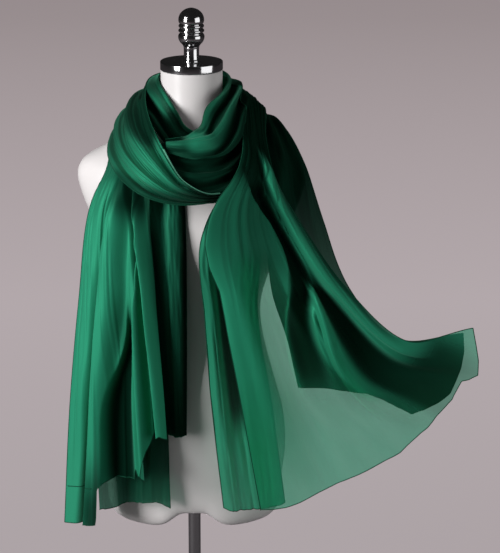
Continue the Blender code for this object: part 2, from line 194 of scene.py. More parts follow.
def addWorld():
    world = bpy.data.worlds.new("studio")
    bpy.context.scene.world = world
    start = clearedTree(world)
    toBack, toTop = start.node("ShaderNodeTexCoord", output="Generated").parts("YZ")
    back = toBack.spread(studio["backSpan"], studio["frontStrength"], studio["backStrength"])
    top = toTop.spread(studio["overheadSpan"], 0.0, 1.0)
    strength = back * (1 - top) + top * studio["overheadStrength"]
    mirrored = start.node("ShaderNodeLightPath", output="Is Glossy Ray")
    strength = strength * (1 - mirrored) + mirrored * studio["mirroredStrength"]
    lit = start.node("ShaderNodeBackground", None, {"Color": studio["lightColor"], "Strength": strength})
    room = start.node("ShaderNodeBackground", None, {"Color": studio["roomColor"]})
    seen = start.node("ShaderNodeLightPath", output="Is Camera Ray")
    seen.mixShader(lit, room).sendOut("ShaderNodeOutputWorld")


def meshFrom(form, name):
    mesh = bpy.data.meshes.new(name)
    form.to_mesh(mesh)
    form.free()
    return mesh


def addFloor():
    form = bmesh.new()
    bmesh.ops.create_circle(form, cap_ends=True, segments=studio["floorSides"], radius=studio["floorReach"])
    floor = addItem("floor", meshFrom(form, "floor"))
    material, start = newMaterial("floor_matte")
    depth, = start.node("ShaderNodeTexCoord", output="Object").parts("Y")
    fromFront = depth * (0.5 / studio["floorReach"]) + 0.5
    lit = start.node("ShaderNodeValToRGB", {"stops": studio["floorPaintedLight"]}, {0: fromFront})
    glow = start.node("ShaderNodeEmission", None, {"Color": lit})
    matte = start.node("ShaderNodeBsdfPrincipled", None, {
        "Base Color": studio["floorShade"], "Roughness": studio["floorRoughness"],
        "Specular IOR Level": studio["floorSpecular"]})
    # painted light: camera rays see the floor glow by its ramp, other rays see only the weak matte floor
    seen = start.node("ShaderNodeLightPath", output="Is Camera Ray")
    (seen * studio["floorGlow"]).mixShader(matte, glow).sendOut()
    floor.data.materials.append(material)


chiffonLook = {
    "color": (0.024, 0.31, 0.172, 1),
    "cloudColor": (0.018, 0.25, 0.138, 1),
    "paintedShadeColor": (0.0012, 0.013, 0.007, 1),    # painted shade, for folds, hollows and places in shadow
    "glowColor": (0.10, 0.70, 0.45, 1),        # light that comes through the cloth
    "clearColor": (0.45, 1.0, 0.76, 1),        # what is seen through the cloth turns green
    "glowLeast": 0.04,
    "glowMost": 0.8,
    "glowSheer": 2.9,                          # the sheerer the cloth, the more light comes through
    "roughness": 0.55,
    "metallic": 0.25,                          # silky threads shine in their own colour
    "specular": 0.2,
    "specularTint": (0.35, 1.0, 0.65, 1),
    "sheen": 0.2,
    "sheenTint": (0.35, 0.95, 0.65, 1),
    "cloudScale": 9.0,
    "threadPitch": 0.6 * mm,
    "threadMean": 0.75,
    "threadCover": 0.10,                       # how unevenly the threads and the crinkles cover
    "crinkleCover": 0.45,
    "crinkleMean": 0.5,
    "crinkleScale": 90.0,
    "crinkleDetail": 4.0,
    "crinkleRoughness": 0.6,
    "crinkleStretch": 0.22,
    "threadRise": 0.05,
    "creaseStrength": 0.55,
    "creaseDepth": 0.5 * mm,
}


def addChiffon(name, look):
    material, start = newMaterial(name)
    flat = start.node("ShaderNodeUVMap", {"uv_map": "cloth"})
    across, along = flat.parts("XY")
    turns = 2 * math.pi / look["threadPitch"]
    warp = start.math("SINE", across * turns) * 0.5 + 0.5
    weft = start.math("SINE", along * turns) * 0.5 + 0.5
    threads = start.math("MAXIMUM", warp, weft)
    stretched = start.node("ShaderNodeCombineXYZ", None, {0: across, 1: along * look["crinkleStretch"]})
    crinkle = stretched.noise(look["crinkleScale"], look["crinkleDetail"], look["crinkleRoughness"])
    clouds = flat.noise(look["cloudScale"])
    cover = start.node("ShaderNodeAttribute", {"attribute_name": "cover"}, output="Fac")
    deep = start.node("ShaderNodeAttribute", {"attribute_name": "deep"}, output="Fac")
    uneven = (crinkle - look["crinkleMean"]) * look["crinkleCover"]
    uneven = uneven + (threads - look["threadMean"]) * look["threadCover"]
    alpha = (cover + uneven * (1 - cover)).clamp(0.0, 1.0)
    # painted shade: the colour darkens towards a near-black green where the cloth's shade attribute is high
    shade = deep.mixColor(clouds.mixColor(look["color"], look["cloudColor"]), look["paintedShadeColor"])
    bump = (crinkle + threads * look["threadRise"]).bump(look["creaseStrength"], look["creaseDepth"])
    cloth = start.node("ShaderNodeBsdfPrincipled", None, {
        "Base Color": shade, "Roughness": look["roughness"], "Metallic": look["metallic"],
        "Sheen Weight": look["sheen"], "Sheen Tint": look["sheenTint"],
        "Specular IOR Level": look["specular"], "Specular Tint": look["specularTint"], "Normal": bump})
    glow = start.node("ShaderNodeBsdfTranslucent", None, {"Color": look["glowColor"], "Normal": bump})
    glowShare = ((1 - cover) * look["glowSheer"]).clamp(0.0, look["glowMost"]) + look["glowLeast"]
    # painted shade: a flat dark diffuse, without sheen or gloss, takes over where the shade attribute is high
    dark = start.node("ShaderNodeBsdfDiffuse", None, {"Color": look["paintedShadeColor"]})
    solid = (deep * deep).mixShader((glowShare * (1 - deep)).mixShader(cloth, glow), dark)
    clear = start.node("ShaderNodeBsdfTransparent", None, {"Color": look["clearColor"]})
    alpha.mixShader(clear, solid).sendOut()
    return material


hemLook = {
    # between the stitches and on them, and the same for a rolled turned edge, coloured lighter as a painted
    # highlight
    "colors": ((0.0048, 0.048, 0.0258, 1), (0.008, 0.08, 0.043, 1)),
    "paintedHighlightColors": ((0.084, 0.276, 0.186, 1), (0.14, 0.46, 0.31, 1)),
    "roughness": 0.6,
    "specular": 0.15,
    "specularTint": (0.35, 1.0, 0.65, 1),
    "stitchScale": 420.0,
    "stitchStrength": 0.4,
    "stitchDepth": 0.3 * mm,
    "radius": 0.75 * mm,
    "turnedRadius": 1.5 * mm,
}


def addHemFinish(name, look, colors):
    material, start = newMaterial(name)
    stitches = start.node("ShaderNodeTexCoord", output="Object").noise(look["stitchScale"])
    start.node("ShaderNodeBsdfPrincipled", None, {
        "Base Color": stitches.mixColor(*colors), "Roughness": look["roughness"],
        "Specular IOR Level": look["specular"], "Specular Tint": look["specularTint"],
        "Normal": stitches.bump(look["stitchStrength"], look["stitchDepth"])}).sendOut()
    return material


formLook = {
    "color": (0.83, 0.80, 0.80, 1),
    "warmColor": (0.80, 0.76, 0.75, 1),
    "cloudScale": 7.0,
    "roughness": 0.28,
    "poreRoughness": 0.12,
    "poreScale": 160.0,
    "poreDetail": 3.0,
    "poreStrength": 0.12,
    "poreDepth": 0.2 * mm,
    "specular": 0.45,
}


def addFormFinish(name, look):
    material, start = newMaterial(name)
    place = start.node("ShaderNodeTexCoord", output="Object")
    clouds = place.noise(look["cloudScale"])
    pores = place.noise(look["poreScale"], look["poreDetail"])
    start.node("ShaderNodeBsdfPrincipled", None, {
        "Base Color": clouds.mixColor(look["color"], look["warmColor"]),
        "Roughness": look["roughness"] + pores * look["poreRoughness"],
        "Specular IOR Level": look["specular"],
        "Normal": pores.bump(look["poreStrength"], look["poreDepth"])}).sendOut()
    return material


chromeLook = {
    "color": (0.78, 0.78, 0.79, 1),
    "smudgeColor": (0.7176, 0.7176, 0.7268, 1),
    "smudgeScale": 22.0,
    "smudgeDetail": 4.0,
    "roughness": 0.07,
    "smudgeRoughness": 0.08,
}


def addChrome(name, look):
    material, start = newMaterial(name)
    place = start.node("ShaderNodeTexCoord", output="Object")
    smudges = place.noise(look["smudgeScale"], look["smudgeDetail"])
    start.node("ShaderNodeBsdfPrincipled", None, {
        "Base Color": smudges.mixColor(look["color"], look["smudgeColor"]), "Metallic": 1.0,
        "Roughness": look["roughness"] + smudges * look["smudgeRoughness"]}).sendOut()
    return material


# lengths in the pieces' dictionaries are millimetres, and heights are over the floor
Level = namedtuple("Level", "height halfWidth front back")
Ring = namedtuple("Ring", "scale lift")
Turn = namedtuple("Turn", "radius height")

dressForm = {
    "levels": (
        Level(1040, 51, 51, 51), Level(1000, 51, 52, 52), Level(976, 54, 55, 56), Level(957, 64, 61, 65),
        Level(942, 86, 67, 76), Level(926, 118, 74, 87), Level(911, 146, 80, 94), Level(897, 172, 85, 98),
        Level(884, 185, 90, 102), Level(865, 190, 96, 106), Level(836, 184, 104, 110),
        Level(798, 170, 110, 110), Level(750, 151, 109, 103), Level(700, 129, 99, 92),
        Level(645, 114, 89, 84), Level(590, 117, 93, 93), Level(520, 134, 102, 110),
        Level(450, 152, 105, 119), Level(390, 156, 99, 113), Level(335, 150, 89, 101),
    ),
    "footRings": (                             # round the lower edge and close the underside
        Ring(0.985, 1.0), Ring(0.955, 0.55), Ring(0.905, 0.22), Ring(0.83, 0.05), Ring(0.70, 0.0),
        Ring(0.50, 0.0), Ring(0.32, 0.0), Ring(0.20, 0.0), Ring(0.10, 0.0),
    ),
    "bustSide": 76, "bustHeight": 806, "bustReach": 24, "bustSpread": 52, "bustSquash": 0.9,
    "foot": 262, "notchHeight": 26, "notchHalfWidth": 16, "notchSlope": 26, "edgeRound": 34,
    "sides": 96, "rings": 110, "footSteps": 4, "sharpAngle": math.radians(50),
}

stand = {
    "baseRadius": 150, "baseEdge": 5, "baseSlope": 40, "baseDrop": 4, "baseHeight": 14, "baseRounding": 2.0,
    "hubRadius": 26, "hubFlare": 10, "hubShoulder": 4, "hubHeight": 30,
    "poleRadius": 10.5, "poleFoot": 30.3, "poleTop": 287.7,
    "plateRadius": 51.5, "plateHeight": 14, "plateFoot": 1040.3, "plateRounding": 1.4,
    "finialFoot": 1054.6,
    "finial": (
        Turn(14.5, 0), Turn(14.4, 1.5), Turn(13.0, 4), Turn(12.6, 14), Turn(13.0, 23), Turn(15.0, 27),
        Turn(18.6, 31), Turn(21.0, 36), Turn(21.6, 40.5), Turn(20.6, 44), Turn(18.2, 46), Turn(19.8, 47.6),
        Turn(21.2, 49.2), Turn(20.8, 51.6), Turn(18.2, 53.6), Turn(19.8, 55.4), Turn(20.9, 57.4),
        Turn(20.3, 59.6), Turn(18.4, 61), Turn(20.2, 63.2), Turn(21.1, 67), Turn(20.6, 72), Turn(18.6, 77),
        Turn(15.0, 81.4), Turn(10.0, 84.9), Turn(4.0, 87.0),
    ),
    "finialSteps": 4,
    "core": 0.1,                               # a small ring that keeps the flat ends' shading flat
    "sides": 96, "roundingShares": (0.0, 0.3, 0.7, 1.0), "sharpAngle": math.radians(35),
}


def rowCurve(rows, share):
    # smooth curve through evenly spaced rows, read at many shares at once
    rows = np.array(rows, float)
    single = rows.ndim == 1
    if single:
        rows = rows[:, None]
    share = np.clip(share, 0, 1) * (len(rows) - 1)
    index = np.minimum(share.astype(int), len(rows) - 2)
    part = (share - index)[:, None]
    padded = np.vstack([rows[:1] * 2 - rows[1:2], rows, rows[-1:] * 2 - rows[-2:-1]])
    first, second, third, fourth = (padded[index + step] for step in range(4))
    curve = 0.5 * (second * 2 + (third - first) * part
                   + (first * 2 - second * 5 + third * 4 - fourth) * part ** 2
                   + (second * 3 - first - third * 3 + fourth) * part ** 3)
    return curve[:, 0] if single else curve


def finishPiece(name, mesh, material, nodes):
    mesh.materials.append(material)
    mesh.shade_smooth()
    piece = addItem(name, mesh)
    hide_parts(*nodes)
    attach(piece, "root")
    return piece


def gridPlace(vertex, squaresAcross, squaresAlong):
    # column and row of a vertex of a new grid of size 0.5, from its upper left corner
    return round((vertex.co.x + 0.5) * squaresAcross), round((0.5 - vertex.co.y) * squaresAlong)


def formSkin(look, height, halfWidth, front, back, angle):
    # points of the form's skin at one level
    x = halfWidth * np.cos(angle)
    y = np.where(np.sin(angle) > 0, back, front) * np.sin(angle)
    bust = 0.0
    for side in (-look["bustSide"], look["bustSide"]):
        distance = np.hypot(x - side, (height - look["bustHeight"]) * look["bustSquash"]) / look["bustSpread"]
        bust = bust + look["bustReach"] * np.exp(-distance * distance)
    y = np.where(y < 0, y + bust * np.sin(angle), y)
    return np.stack([x, y, np.broadcast_to(height, x.shape)], -1)


def formUnderside(look, x):
    distance = np.maximum(np.abs(x) - look["notchHalfWidth"], 0) / look["notchSlope"]
    return look["foot"] + look["notchHeight"] * np.exp(-distance * distance)


def addDressForm(look, material):
    angle = np.arange(look["sides"]) * 2 * math.pi / look["sides"]
    rings = []
    for level in rowCurve(look["levels"], np.linspace(0, 1, look["rings"])):
        rings.append(formSkin(look, *level, angle))
    steps = look["footSteps"] * (len(look["footRings"]) - 1) + 1
    for scale, lift in rowCurve(look["footRings"], np.linspace(0, 1, steps)):
        ring = formSkin(look, *look["levels"][-1], angle) * scale
        ring[:, 2] = formUnderside(look, ring[:, 0]) + look["edgeRound"] * lift
        rings.append(ring)
    rings = np.array(rings) * mm
    form = bmesh.new()
    bmesh.ops.create_grid(form, x_segments=look["sides"], y_segments=len(rings) - 1, size=0.5)
    for vertex in form.verts:
        side, ring = gridPlace(vertex, look["sides"], len(rings) - 1)
        vertex.co = rings[ring, side % look["sides"]]
    bmesh.ops.remove_doubles(form, verts=form.verts, dist=weldReach)
    bmesh.ops.holes_fill(form, edges=[edge for edge in form.edges if edge.is_boundary], sides=0)
    bmesh.ops.recalc_face_normals(form, faces=form.faces)
    mesh = meshFrom(form, "form_skin")
    piece = finishPiece("form_skin", mesh, material, ["dress_form"])
    mesh.set_sharp_from_angle(angle=look["sharpAngle"])
    return piece


def between(first, second, share):
    return tuple(low + (high - low) * share for low, high in zip(first, second))


def rounded(corners, radius):
    # profile with each corner but the first and last cut by three short steps
    made = [corners[0]]
    for before, here, after in zip(corners, corners[1:], corners[2:]):
        start = between(here, before, min(radius / math.dist(before, here), 0.5))
        end = between(here, after, min(radius / math.dist(after, here), 0.5))
        for share in stand["roundingShares"]:
            made.append(between(between(start, here, share), between(here, end, share), share))
    return made + [corners[-1]]


def addTurned(name, turns, foot, material, node):
    points = [(0, turns[0][1]), *turns, (0, turns[-1][1])]
    form = bmesh.new()
    verts = [form.verts.new((radius * mm, 0, (foot + height) * mm)) for radius, height in points]
    edges = [form.edges.new(pair) for pair in zip(verts, verts[1:])]
    bmesh.ops.spin(form, geom=verts + edges, cent=(0, 0, 0), axis=(0, 0, 1), angle=2 * math.pi,
                   steps=stand["sides"], use_merge=True)
    bmesh.ops.remove_doubles(form, verts=form.verts, dist=weldReach)
    bmesh.ops.recalc_face_normals(form, faces=form.faces)
    mesh = meshFrom(form, name)
    finishPiece(name, mesh, material, [node])
    mesh.set_sharp_from_angle(angle=stand["sharpAngle"])


def addStand(material):
    core = stand["core"]
    radius, height = stand["baseRadius"], stand["baseHeight"]
    hub, hubHeight, shoulder = stand["hubRadius"], stand["hubHeight"], stand["hubShoulder"]
    base = [
        (core, 0), (radius, 0), (radius, stand["baseEdge"]),
        (radius - stand["baseSlope"], height - stand["baseDrop"]), (hub + stand["hubFlare"], height),
        (hub, height + shoulder), (hub - shoulder, hubHeight), (core, hubHeight),
    ]
    addTurned("stand_base", rounded(base, stand["baseRounding"]), 0, material, "base_plate")

    pole = [(stand["poleRadius"], 0), (stand["poleRadius"], stand["poleTop"] - stand["poleFoot"])]
    addTurned("stand_pole", pole, stand["poleFoot"], material, "pole")

    radius, height = stand["plateRadius"], stand["plateHeight"]
    plate = [(core, 0), (radius, 0), (radius, height), (core, height)]
    addTurned("neck_cap", rounded(plate, stand["plateRounding"]), stand["plateFoot"], material, "neck_plate")

    knob = rowCurve(stand["finial"], np.linspace(0, 1, stand["finialSteps"] * len(stand["finial"])))
    addTurned("top_knob", knob, stand["finialFoot"], material, "finial")


# A row across the cloth, from the start edge to the end edge. Its middle stands out by belly and hangs
# down by bow, and pleat is its share of the folds' height. cover is how much it hides of what lies behind
# it, and its painted shade is how far it is darkened, for the shadow of the layers around it.
Section = namedtuple("Section", "start end belly deep cover pleat bow", defaults=(0.0, 1.0, 1.0, 0))
# A fold, or a patch of painted shade where its height is 0. Its feet and crest are shares of the cloth's
# width, each one number or several that are evenly spaced from begins to ends, which are shares of its
# length. A plateau over 1 flattens the top, and lean moves the crest sideways. Its painted shade sets the
# shade painted on its crest; without one, a hollow gets painted shade by how far down it lies.
Fold = namedtuple("Fold", "left crest right height begins ends plateau deep lean",
                  defaults=(0, 1, 1.4, None, 0))
# the same shape for a stretch with its own cover
Thin = namedtuple("Thin", "left crest right begins ends plateau cover")

clothRules = {
    "layGap": 0.9,             # between one layer and the next
    "liftReach": 90,
    "liftPasses": 2,
    "liftSpreads": 14,
    "paintedShadeDepth": 20,           # a hollow this far down gets almost black painted shade
    "foldFade": 0.12,          # length share over which a fold comes and goes
    "leastFoldWidth": 0.001,
    "cornerReach": 0.2,        # width share that a corner in the start edge takes
    "slopeStep": 0.01,
    "creasePlace": (0.02, 0.98),
    "creaseDrift": 0.05,
    "creaseBend": (0.2, 0.8),
    "creaseBegins": (-0.4, 0.8),
    "creaseLength": (0.25, 0.9),
    "creaseHalfWidth": (0.008, 0.03),
    "waves": 26,
    "wavesAcross": (1, 11),
    "wavesAlong": (0.5, 7),
    "waveStart": (0, 6.3),
    "waveSoftening": 0.15,     # the narrower the wave, the lower it is
    "waveHeight": 1 / 3,
}

leftTailFront = {
    "name": "left_tail_front",
    "nodes": ["scarf_left_tail_front"],
    "sections": (
        Section((-128, -12, 930), (-72, -30, 952), 6, 0.5, pleat=0.25),
        Section((-140, -66, 880), (-64, -116, 892), 7, 0.4, pleat=0.35),
        Section((-163, -72, 809), (-66, -142, 826), 10, 0.1, pleat=0.8),
        Section((-178, -76, 666), (-56, -150, 694), 14),
        Section((-196, -82, 503), (-40, -150, 531), 14),
        Section((-211, -86, 285), (-22, -146, 300), 12, cover=0.98),
    ),
    "folds": (
        # outer fold, a crease darkened by painted shade, and second fold
        Fold(-0.16, (0.20, 0.17, 0.14, 0.10, 0.07), (0.53, 0.45, 0.35, 0.26, 0.19), 18, 0.13, 1, 2.0),
        Fold((0.46, 0.39, 0.29, 0.205, 0.14), (0.52, 0.436, 0.34, 0.25, 0.182),
             (0.535, 0.452, 0.356, 0.264, 0.194), -5, 0.13, 1, 1.0, 0.6),
        Fold((0.525, 0.44, 0.345, 0.254, 0.185), (0.565, 0.475, 0.378, 0.284, 0.212),
             (0.76, 0.73, 0.66, 0.50, 0.40), 24, 0.13, 1, 1.8, lean=-3),
        # gap above, and the shade and wide hollow below it
        Fold((0.44, 0.67, 0.75), (0.52, 0.77, 0.84), (0.60, 0.82, 0.88), -16, 0.13, 0.62, 1.2, 0.85),
        Fold((0.50, 0.46, 0.40), (0.64, 0.60, 0.56), (0.74, 0.72, 0.70), 0, 0.54, 0.80, 1.6, 0.4),
        Fold((0.66, 0.60, 0.40, 0.36, 0.37), (0.69, 0.65, 0.53, 0.50, 0.51), (0.71, 0.69, 0.66, 0.66, 0.67),
             -18, 0.60, 1, 2.6, 0.97),
        # narrow fold, gap, last fold and the painted shade beyond it
        Fold((0.88, 0.80, 0.75, 0.73, 0.73), (0.90, 0.83, 0.78, 0.76, 0.76), (0.93, 0.88, 0.85, 0.83, 0.82),
             22, 0.44, 1, 1.6, lean=-3),
        Fold((0.86, 0.845, 0.82), (0.885, 0.87, 0.85), (0.91, 0.905, 0.89), -8, 0.60, 1, 1.6, 0.93),
        Fold((0.68, 0.81, 0.905, 0.90, 0.905), (0.72, 0.85, 0.94, 0.935, 0.94),
             (0.80, 0.93, 1.00, 1.03, 1.07), 24, 0.13, 1, 1.4, lean=-4),
        Fold((0.80, 0.92, 0.97, 0.99, 1.01), (0.92, 0.98, 1.03, 1.06, 1.09), 1.4, 0, 0.13, 1, 1.6, 0.95),
        # shade below the band, and at the second fold's lower end
        Fold((0.10, 0.30, 0.60), (0.80, 0.85, 0.92), 1.6, 0, 0.10, 0.46, 2.4, 0.8),
        Fold(0.15, 0.29, 0.40, 0, 0.86, 1, 2.0, 0.75),
    ),
    # width share, and how far the hem is raised there
    "hemRise": ((0, 0), (0.315, 2), (0.33, 64), (0.37, 72), (0.44, 76), (0.62, 74), (0.655, 96), (0.67, 84),
                (0.73, 74), (0.76, 98), (0.80, 130), (0.86, 168), (0.89, 152), (0.96, 158), (1, 150)),
    "stitchSpan": (0.02, 0.30), "stitchRise": 34.5,
    "creases": 34, "creaseHeight": 1.6, "crumple": 0.6, "seed": 11,
    "squares": (170, 190), "hems": ("hem", "start"),
    "flat": (0.25, 0.62), "held": "hung",
}

leftTailInner = {
    "name": "left_tail_inner",
    "nodes": ["scarf_left_tail_inner"],
    "sections": (
        Section((-76, -98, 880), (-14, -98, 880), 0, 0.6),
        Section((-80, -124, 806), (-8, -122, 806), 4, 0.42),
        Section((-72, -128, 668), (-7, -126, 668), 4, 0.5),
        Section((-54, -124, 450), (-9, -124, 444), 3, 0.97),
    ),
    "folds": (
        Fold((-0.20, -0.10, 0.00), (0.02, 0.16, 0.24), (0.34, 0.52, 0.60), -5, 0.28, 1, 1.8, 0.92),
        Fold(0.50, (0.72, 0.66, 0.62), (1.02, 1.00, 0.98), 5),
        Fold((0.88, 0.84, 0.80), 1.0, 1.2, -3, deep=0.97),
    ),
    "hemRise": ((0, 4), (0.4, 0), (1, 3)),
    "creases": 14, "creaseHeight": 1.2, "crumple": 0.5, "seed": 12,
    "squares": (50, 110), "hems": ("hem",),
    "flat": (0.07, 0.44), "held": "hung",
}

leftTailBack = {
    "name": "left_tail_back",
    "nodes": ["scarf_left_tail_back"],
    "sections": (
        Section((-122, -2, 922), (-66, -20, 944), 4),
        Section((-132, -60, 868), (-50, -100, 876), 4),
        Section((-150, -64, 790), (-44, -124, 800), 12, 0, 0.97),
        Section((-158, -62, 655), (-42, -120, 667), 8, 0.9, 0.99),
        Section((-166, -62, 500), (-42, -116, 508), 8, 0.9, 0.97),
        Section((-160, -62, 292), (-38, -108, 312), 10, 0.66, 0.84, bow=-12),
    ),
    "folds": (
        Fold((0.02, 0.04), (0.16, 0.20), (0.34, 0.38), 7),
        Fold((0.34, 0.30), 0.46, 0.60, -6),
        Fold((0.62, 0.60), (0.78, 0.74), (0.96, 0.90), 7),
    ),
    "hemRise": ((0, -6), (0.16, -8), (0.28, 0), (0.40, 3), (0.55, 4), (0.72, 8), (0.84, 10), (0.95, 3),
                (1, 0)),
    "creases": 30, "creaseHeight": 2.2, "crumple": 1.6, "seed": 13,
    "squares": (70, 130), "hems": ("hem", "end"),
    "flat": (0.14, 0.66), "held": "hung",
}

rightTailInner = {
    "name": "right_tail_inner",
    "nodes": ["scarf_right_tail_inner"],
    "sections": (
        Section((64, -132, 884), (100, -108, 880), 0, 0.5),
        Section((16, -158, 790), (112, -134, 771), 0, 0.4),
        Section((22, -160, 666), (108, -134, 655), 4, 0.3, 0.98),
        Section((34, -154, 500), (130, -134, 515), 4, 0.05, 0.95, bow=4),
        Section((52, -146, 328), (154, -132, 333), 4, 0.1, 0.86, bow=8),
    ),
    "folds": (
        Fold((-0.05, 0.00, 0.02), (0.08, 0.10, 0.12), (0.24, 0.26, 0.30), 9, 0.15),
        Fold((0.18, 0.24, 0.26), (0.34, 0.40, 0.42), (0.58, 0.60, 0.58), -7, 0.15, 0.85, 2.2, 0.95),
        Fold((0.70, 0.74, 0.76), (0.90, 0.92, 0.94), (1.05, 1.06, 1.08), 4, 0.2),
    ),
    "hemRise": ((0, 0), (0.5, 2), (1, 0)),
    "creases": 26, "creaseHeight": 1.6, "crumple": 1.2, "seed": 14,
    "squares": (70, 150), "hems": ("hem", "start", "end"),
    "flat": (0.11, 0.56), "held": "hung",
}

rightTailBack = {
    "name": "right_tail_back",
    "nodes": ["scarf_right_tail_back"],
    "sections": (
        Section((64, 84, 966), (96, 116, 926), 2, pleat=0.4),
        Section((98, 20, 966), (146, 26, 944), 4, 0.9, pleat=0.5),
        Section((110, -70, 910), (187, -18, 884), 14, 0.92, pleat=0.7),
        Section((120, -98, 800), (217, -46, 792), 8, 0.9, 0.97),
        Section((132, -106, 694), (262, -70, 682), 6, 0.9, 0.92),
        Section((157, -112, 612), (340, -122, 615), 4, 0.9, 0.97, bow=10),
        Section((176, -116, 529), (445, -127, 626), 2, 0.8, 0.95),
    ),
    # width share, and how far the hem hangs there below the line between its corners
    "hemBow": ((0, 0), (0.113, 15), (0.245, 32), (0.367, 46), (0.445, 67), (0.508, 91), (0.565, 110),
               (0.64, 108), (0.73, 99), (0.815, 89), (0.871, 72), (0.922, 55), (0.969, 31), (1, 0)),
    "hemBowFrom": 0.8,
    "folds": (
        Fold((0.00, 0.02, 0.02), (0.14, 0.14, 0.12), (0.28, 0.28, 0.24), -8),
        Fold((0.22, 0.24, 0.24), (0.34, 0.36, 0.36), (0.46, 0.50, 0.50), 9),
        Fold((0.44, 0.46, 0.46), 0.58, (0.72, 0.70, 0.72), -9),
        Fold((0.66, 0.68, 0.68), (0.80, 0.82, 0.80), (0.96, 0.98, 0.96), 8),
    ),
    "hemRise": ((0, 0), (0.4, 3), (0.7, 0), (1, 0)),
    "creases": 30, "creaseHeight": 1.6, "crumple": 1.0, "seed": 15,
    "squares": (110, 150), "hems": ("hem", "start", "end"),
    "flat": (0.14, 0.66), "held": "hung",
}

collar = {
    "name": "neck_turn_left",
    "nodes": ["scarf_collar"],
    "sections": (
        Section((14, -90, 950), (8, -112, 922), 0, 0.97),
        Section((-8, -84, 961), (-30, -110, 930), 2, 0.97),
        Section((-21, -66, 979), (-50, -92, 948), 4, 0.9),
        Section((-35, -45, 998), (-68, -64, 966), 5, 0.3),
        Section((-52, -8, 1021), (-88, -14, 982), 5, 0.7),
        Section((-44, 40, 1028), (-70, 68, 986), 5),
        Section((-3, 58, 1030), (-5, 94, 986), 5),
    ),
    "folds": (
        Fold(-0.10, 0.03, (0.14, 0.12), 3),
        Fold((0.10, 0.14), (0.34, 0.36), (0.52, 0.56), 6),
        Fold((0.40, 0.44, 0.44), (0.60, 0.62, 0.62), (0.80, 0.82, 0.82), -7, 0, 1, 1.6, 0.98),
        Fold((0.70, 0.72, 0.70), (0.86, 0.86, 0.84), 1.0, 5, deep=0.7),
    ),
    "creases": 14, "creaseHeight": 1.2, "crumple": 0.5, "seed": 16,
    "squares": (44, 130), "hems": ("start",),
    "flat": (0.07, 0.28), "held": "draped",
}

cowl = {
    "name": "neck_turn_front",
    "nodes": ["scarf_cowl"],
    "sections": (
        Section((3, 60, 1028), (5, 96, 986), 5),
        Section((46, 42, 1027), (74, 68, 986), 5),
        Section((57, -6, 1020), (90, -12, 988), 5, 0.93),
        Section((48, -48, 1008), (88, -68, 978), 6, 0.88),
        Section((26, -70, 990), (82, -112, 948), 8, 0.85),
        Section((18, -88, 966), (56, -142, 926), 10, 0.55),
        Section((4, -104, 957), (20, -154, 922), 12),
        Section((-16, -116, 952), (-6, -150, 926), 8, 0.9),
        Section((-40, -120, 950), (-36, -138, 932), 2, 1.0),
    ),
    "folds": (
        Fold((-0.08, -0.06), (0.06, 0.08), (0.20, 0.22), 5, 0, 0.85, deep=0.55),
        Fold((0.16, 0.20, 0.22), (0.27, 0.30, 0.32), (0.38, 0.42, 0.44), -8, 0.1, 0.7, deep=0.97),
        Fold((0.34, 0.38, 0.42, 0.34, 0.30), (0.44, 0.48, 0.54, 0.52, 0.52), (0.56, 0.60, 0.70, 0.80, 0.90),
             9, 0.1, 1, 1.8, 0.5),
        # the soft hollow's front, lightened by less painted shade, and painted shade on its underside
        Fold((0.20, 0.10, -0.10), (0.50, 0.46, 0.44), (0.76, 0.84, 0.90), 0, 0.62, 0.89, 2.0, 0.08),
        Fold((0.66, 0.68, 0.66), (0.92, 0.96, 0.94), 1.3, 0, 0.60, 1, 1.6, 0.8),
        Fold((0.54, 0.62, 0.80), (0.66, 0.74, 0.90), (0.78, 0.86, 1.0), -8, 0.15, 0.75, deep=0.95),
        Fold((0.76, 0.84, 0.94), (0.87, 0.93, 1.0), (1.02, 1.05, 1.08), 6, 0.15, 0.85, deep=0.85),
    ),
    "creases": 16, "creaseHeight": 1.2, "crumple": 0.5, "seed": 17,
    "squares": (60, 170), "hems": ("start",),
    "flat": (0.08, 0.36), "held": "draped",
}

underBand = {
    "name": "under_turn",
    "nodes": ["scarf_under_band"],
    "sections": (
        Section((74, 14, 984), (112, 16, 956), 0, 0.8),
        Section((74, -42, 968), (108, -52, 938), 3, 0.9),
        Section((66, -82, 948), (96, -112, 902), 5, 0.92),
        Section((48, -104, 936), (66, -146, 868), 7, 0.9),
        Section((14, -110, 930), (18, -160, 857), 9, 0.82),
        Section((-22, -108, 934), (-22, -154, 868), 7, 0.75),
        Section((-52, -98, 940), (-56, -128, 896), 4, 0.7),
    ),
    "folds": (
        Fold(0.06, (0.18, 0.20), (0.32, 0.34), 6),
        Fold((0.28, 0.30), (0.40, 0.42), (0.52, 0.54), -8),
        Fold((0.46, 0.48), 0.58, 0.70, 6),
        Fold(0.66, 0.76, 0.86, -7),
        Fold(0.82, 0.92, 1.04, 4),
    ),
    "creases": 22, "creaseHeight": 1.8, "crumple": 0.8, "seed": 18,
    "squares": (60, 130), "hems": ("end",),
    "flat": (0.10, 0.30), "held": "draped",
}

